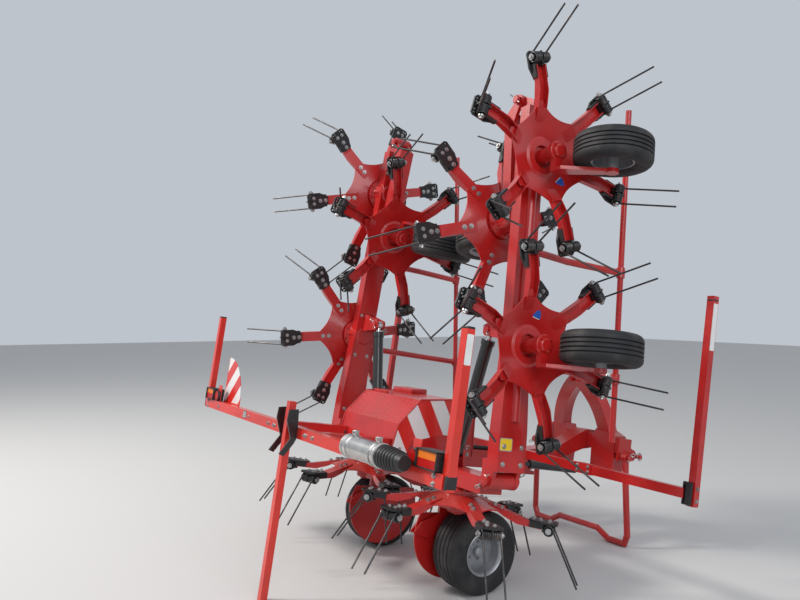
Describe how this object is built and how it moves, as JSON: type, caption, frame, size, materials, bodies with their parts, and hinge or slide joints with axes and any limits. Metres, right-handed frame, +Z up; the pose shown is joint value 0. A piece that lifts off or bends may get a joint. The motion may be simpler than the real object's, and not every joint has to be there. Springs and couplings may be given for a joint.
{
  "type": "mounted hay tedder",
  "caption": "Mounted hay tedder with dished rotors, spring tines, folding wings and parking stands, stored folded.",
  "frame": {"origin": "middle of the standing footprint, on the ground", "axes": "+X to the machine's right, +Y forward to the headstock, +Z up"},
  "size_m": [3.02, 2.5809, 3.1192],
  "materials": {
    "signal_paint": "gloss",
    "board": "satin",
    "black_plastic": "matte",
    "lens": "gloss",
    "bright_steel": "polished",
    "rim_grey": "satin",
    "tyre": "matte",
    "black_paint": "satin",
    "hose": "matte"
  },
  "bodies": {
    "frame": {"centre_frame": "signal_paint", "hood": "signal_paint", "light_beam": "signal_paint", "warning_boards": "board", "lamp_housings": "black_plastic", "lamp_lenses": "lens", "canister": "bright_steel", "front_guard": "signal_paint", "wheel_legs": "signal_paint", "hoses": "hose", "stand_cheeks": "black_plastic"},
    "wing_left": {"wing_left": "signal_paint"},
    "outer_left": {"outer_left": "signal_paint"},
    "lift_barrel_left": {"lift_barrel_left": "black_paint"},
    "lift_rod_left": {"lift_rod_left": "bright_steel"},
    "damper_barrel_left": {"damper_barrel_left": "black_paint"},
    "damper_rod_left": {"damper_rod_left": "bright_steel"},
    "wing_right": {"wing_right": "signal_paint"},
    "outer_right": {"outer_right": "signal_paint"},
    "lift_barrel_right": {"lift_barrel_right": "black_paint"},
    "lift_rod_right": {"lift_rod_right": "bright_steel"},
    "damper_barrel_right": {"damper_barrel_right": "black_paint"},
    "damper_rod_right": {"damper_rod_right": "bright_steel"},
    "rotor_left_outer": {"dish_left_outer": "signal_paint", "tines_left_outer": "black_plastic"},
    "wheel_left_outer": {"tyre_left_outer": "tyre", "rim_left_outer": "rim_grey"},
    "rotor_left_middle": {"dish_left_middle": "signal_paint", "tines_left_middle": "black_plastic"},
    "wheel_left_middle": {"tyre_left_middle": "tyre", "rim_left_middle": "rim_grey"},
    "rotor_left_inner": {"dish_left_inner": "signal_paint", "tines_left_inner": "black_plastic"},
    "wheel_left_inner": {"tyre_left_inner": "tyre", "rim_left_inner": "rim_grey"},
    "rotor_left_centre": {"dish_left_centre": "signal_paint", "tines_left_centre": "black_plastic"},
    "wheel_left_centre": {"tyre_left_centre": "tyre", "rim_left_centre": "rim_grey"},
    "rotor_right_centre": {"dish_right_centre": "signal_paint", "tines_right_centre": "black_plastic"},
    "wheel_right_centre": {"tyre_right_centre": "tyre", "rim_right_centre": "rim_grey"},
    "rotor_right_inner": {"dish_right_inner": "signal_paint", "tines_right_inner": "black_plastic"},
    "wheel_right_inner": {"tyre_right_inner": "tyre", "rim_right_inner": "rim_grey"},
    "rotor_right_middle": {"dish_right_middle": "signal_paint", "tines_right_middle": "black_plastic"},
    "wheel_right_middle": {"tyre_right_middle": "tyre", "rim_right_middle": "rim_grey"},
    "rotor_right_outer": {"dish_right_outer": "signal_paint", "tines_right_outer": "black_plastic"},
    "wheel_right_outer": {"tyre_right_outer": "tyre", "rim_right_outer": "rim_grey"},
    "headstock": {"headstock": "signal_paint"},
    "front_stand": {"front_stand": "signal_paint"},
    "rear_stand_bar": {"rear_stand_bar": "signal_paint"}
  },
  "joints": [
    {"name": "fold_left", "type": "hinge", "parent": "frame", "child": "wing_left", "pos_m": [-0.84, -0.2867, 0.68961], "axis": [0, -0.9877, 0.1564], "range_deg": [0, 94]},
    {"name": "outer_fold_left", "type": "hinge", "parent": "wing_left", "child": "outer_left", "pos_m": [-0.65574, 0.04029, 2.75412], "axis": [0, -0.9877, 0.1564], "range_deg": [0, 184]},
    {"name": "lift_swing_left", "type": "hinge", "parent": "frame", "child": "lift_barrel_left", "pos_m": [-0.45, -0.27262, 0.7785], "axis": [0, -0.9877, 0.1564], "range_deg": [0, 72.85]},
    {"name": "lift_slide_left", "type": "slide", "parent": "lift_barrel_left", "child": "lift_rod_left", "axis": [-0.2301, 0.1522, 0.9612], "range_m": [0, 0.4774]},
    {"name": "fold_right", "type": "hinge", "parent": "frame", "child": "wing_right", "pos_m": [0.84, -0.2867, 0.68961], "axis": [0, 0.9877, -0.1564], "range_deg": [0, 94]},
    {"name": "outer_fold_right", "type": "hinge", "parent": "wing_right", "child": "outer_right", "pos_m": [0.65574, 0.04029, 2.75412], "axis": [0, 0.9877, -0.1564], "range_deg": [0, 184]},
    {"name": "lift_swing_right", "type": "hinge", "parent": "frame", "child": "lift_barrel_right", "pos_m": [0.45, -0.27262, 0.7785], "axis": [0, 0.9877, -0.1564], "range_deg": [0, 72.85]},
    {"name": "lift_slide_right", "type": "slide", "parent": "lift_barrel_right", "child": "lift_rod_right", "axis": [0.2301, 0.1522, 0.9612], "range_m": [0, 0.4774]},
    {"name": "rotor_left_outer", "type": "hinge", "parent": "outer_left", "child": "rotor_left_outer", "pos_m": [-0.51091, -0.06827, 2.06875], "axis": [-0.9903, 0.0218, 0.1375], "continuous": true},
    {"name": "wheel_left_outer", "type": "hinge", "parent": "outer_left", "child": "wheel_left_outer", "pos_m": [-0.24948, 0.11167, 2.00305], "axis": [0.1392, 0.1549, 0.9781], "continuous": true},
    {"name": "rotor_left_middle", "type": "hinge", "parent": "wing_left", "child": "rotor_left_middle", "pos_m": [-0.92048, -0.01374, 2.413], "axis": [0.9976, -0.0109, -0.0689], "continuous": true},
    {"name": "wheel_left_middle", "type": "hinge", "parent": "wing_left", "child": "wheel_left_middle", "pos_m": [-1.18384, 0.17482, 2.40177], "axis": [-0.0698, -0.1561, -0.9853], "continuous": true},
    {"name": "rotor_left_inner", "type": "hinge", "parent": "wing_left", "child": "rotor_left_inner", "pos_m": [-0.99233, -0.17448, 1.39815], "axis": [0.9976, -0.0109, -0.0689], "continuous": true},
    {"name": "wheel_left_inner", "type": "hinge", "parent": "wing_left", "child": "wheel_left_inner", "pos_m": [-1.25569, 0.01409, 1.38693], "axis": [-0.0698, -0.1561, -0.9853], "continuous": true},
    {"name": "rotor_left_centre", "type": "hinge", "parent": "frame", "child": "rotor_left_centre", "pos_m": [-0.515, -0.3183, 0.4901], "axis": [0, 0.1564, 0.9877], "continuous": true},
    {"name": "wheel_left_centre", "type": "hinge", "parent": "frame", "child": "wheel_left_centre", "pos_m": [-0.515, -0.1975, 0.23], "axis": [1, 0, 0], "continuous": true},
    {"name": "rotor_right_centre", "type": "hinge", "parent": "frame", "child": "rotor_right_centre", "pos_m": [0.515, -0.3183, 0.4901], "axis": [0, 0.1564, 0.9877], "continuous": true},
    {"name": "wheel_right_centre", "type": "hinge", "parent": "frame", "child": "wheel_right_centre", "pos_m": [0.515, -0.1975, 0.23], "axis": [1, 0, 0], "continuous": true},
    {"name": "rotor_right_inner", "type": "hinge", "parent": "wing_right", "child": "rotor_right_inner", "pos_m": [0.99233, -0.17448, 1.39815], "axis": [-0.9976, -0.0109, -0.0689], "continuous": true},
    {"name": "wheel_right_inner", "type": "hinge", "parent": "wing_right", "child": "wheel_right_inner", "pos_m": [1.25569, 0.01409, 1.38693], "axis": [-0.0698, 0.1561, 0.9853], "continuous": true},
    {"name": "rotor_right_middle", "type": "hinge", "parent": "wing_right", "child": "rotor_right_middle", "pos_m": [0.92048, -0.01374, 2.413], "axis": [-0.9976, -0.0109, -0.0689], "continuous": true},
    {"name": "wheel_right_middle", "type": "hinge", "parent": "wing_right", "child": "wheel_right_middle", "pos_m": [1.18384, 0.17482, 2.40177], "axis": [-0.0698, 0.1561, 0.9853], "continuous": true},
    {"name": "rotor_right_outer", "type": "hinge", "parent": "outer_right", "child": "rotor_right_outer", "pos_m": [0.51091, -0.06827, 2.06875], "axis": [0.9903, 0.0218, 0.1375], "continuous": true},
    {"name": "wheel_right_outer", "type": "hinge", "parent": "outer_right", "child": "wheel_right_outer", "pos_m": [0.24948, 0.11167, 2.00305], "axis": [0.1392, -0.1549, -0.9781], "continuous": true},
    {"name": "headstock_swivel", "type": "hinge", "parent": "frame", "child": "headstock", "pos_m": [0, 0.48495, 0.57549], "axis": [0, 0.1564, 0.9877], "range_deg": [-12, 12]},
    {"name": "damper_swing_left", "type": "hinge", "parent": "frame", "child": "damper_barrel_left", "pos_m": [-0.165, 0.4561, 0.58513], "axis": [0, 0.1564, 0.9877], "range_deg": [-12.27, 12.27]},
    {"name": "damper_slide_left", "type": "slide", "parent": "damper_barrel_left", "child": "damper_rod_left", "axis": [-0.2425, 0.9582, -0.1518], "range_m": [-0.03488, 0.03488]},
    {"name": "damper_swing_right", "type": "hinge", "parent": "frame", "child": "damper_barrel_right", "pos_m": [0.165, 0.4561, 0.58513], "axis": [0, 0.1564, 0.9877], "range_deg": [-12.27, 12.27]},
    {"name": "damper_slide_right", "type": "slide", "parent": "damper_barrel_right", "child": "damper_rod_right", "axis": [0.2425, 0.9582, -0.1518], "range_m": [-0.03488, 0.03488]},
    {"name": "front_stand_fold", "type": "hinge", "parent": "headstock", "child": "front_stand", "pos_m": [0, 1.13813, 0.59556], "axis": [-1, 0, 0], "range_deg": [0, 60]},
    {"name": "rear_stand_fold", "type": "hinge", "parent": "frame", "child": "rear_stand_bar", "pos_m": [0.035, -1.11253, 0.9986], "axis": [-1, 0, 0], "range_deg": [0, 90]}
  ],
  "couplings": [
    {"joint": "outer_fold_left", "follows": "fold_left", "ratio": 1.9574},
    {"joint": "lift_swing_left", "follows": "fold_left", "ratio": 0.77501},
    {"joint": "lift_slide_left", "follows": "fold_left", "m_per_rad": 0.29093},
    {"joint": "outer_fold_right", "follows": "fold_right", "ratio": 1.9574},
    {"joint": "lift_swing_right", "follows": "fold_right", "ratio": 0.77501},
    {"joint": "lift_slide_right", "follows": "fold_right", "m_per_rad": 0.29093},
    {"joint": "rotor_left_outer", "follows": "rotor_right_centre", "ratio": 1},
    {"joint": "rotor_left_middle", "follows": "rotor_right_centre", "ratio": -1},
    {"joint": "rotor_left_inner", "follows": "rotor_right_centre", "ratio": 1},
    {"joint": "rotor_left_centre", "follows": "rotor_right_centre", "ratio": -1},
    {"joint": "rotor_right_inner", "follows": "rotor_right_centre", "ratio": -1},
    {"joint": "rotor_right_middle", "follows": "rotor_right_centre", "ratio": 1},
    {"joint": "rotor_right_outer", "follows": "rotor_right_centre", "ratio": -1},
    {"joint": "damper_swing_left", "follows": "headstock_swivel", "ratio": 1.0215},
    {"joint": "damper_slide_left", "follows": "headstock_swivel", "m_per_rad": -0.16605},
    {"joint": "damper_swing_right", "follows": "headstock_swivel", "ratio": 1.0215},
    {"joint": "damper_slide_right", "follows": "headstock_swivel", "m_per_rad": 0.16605}
  ]
}
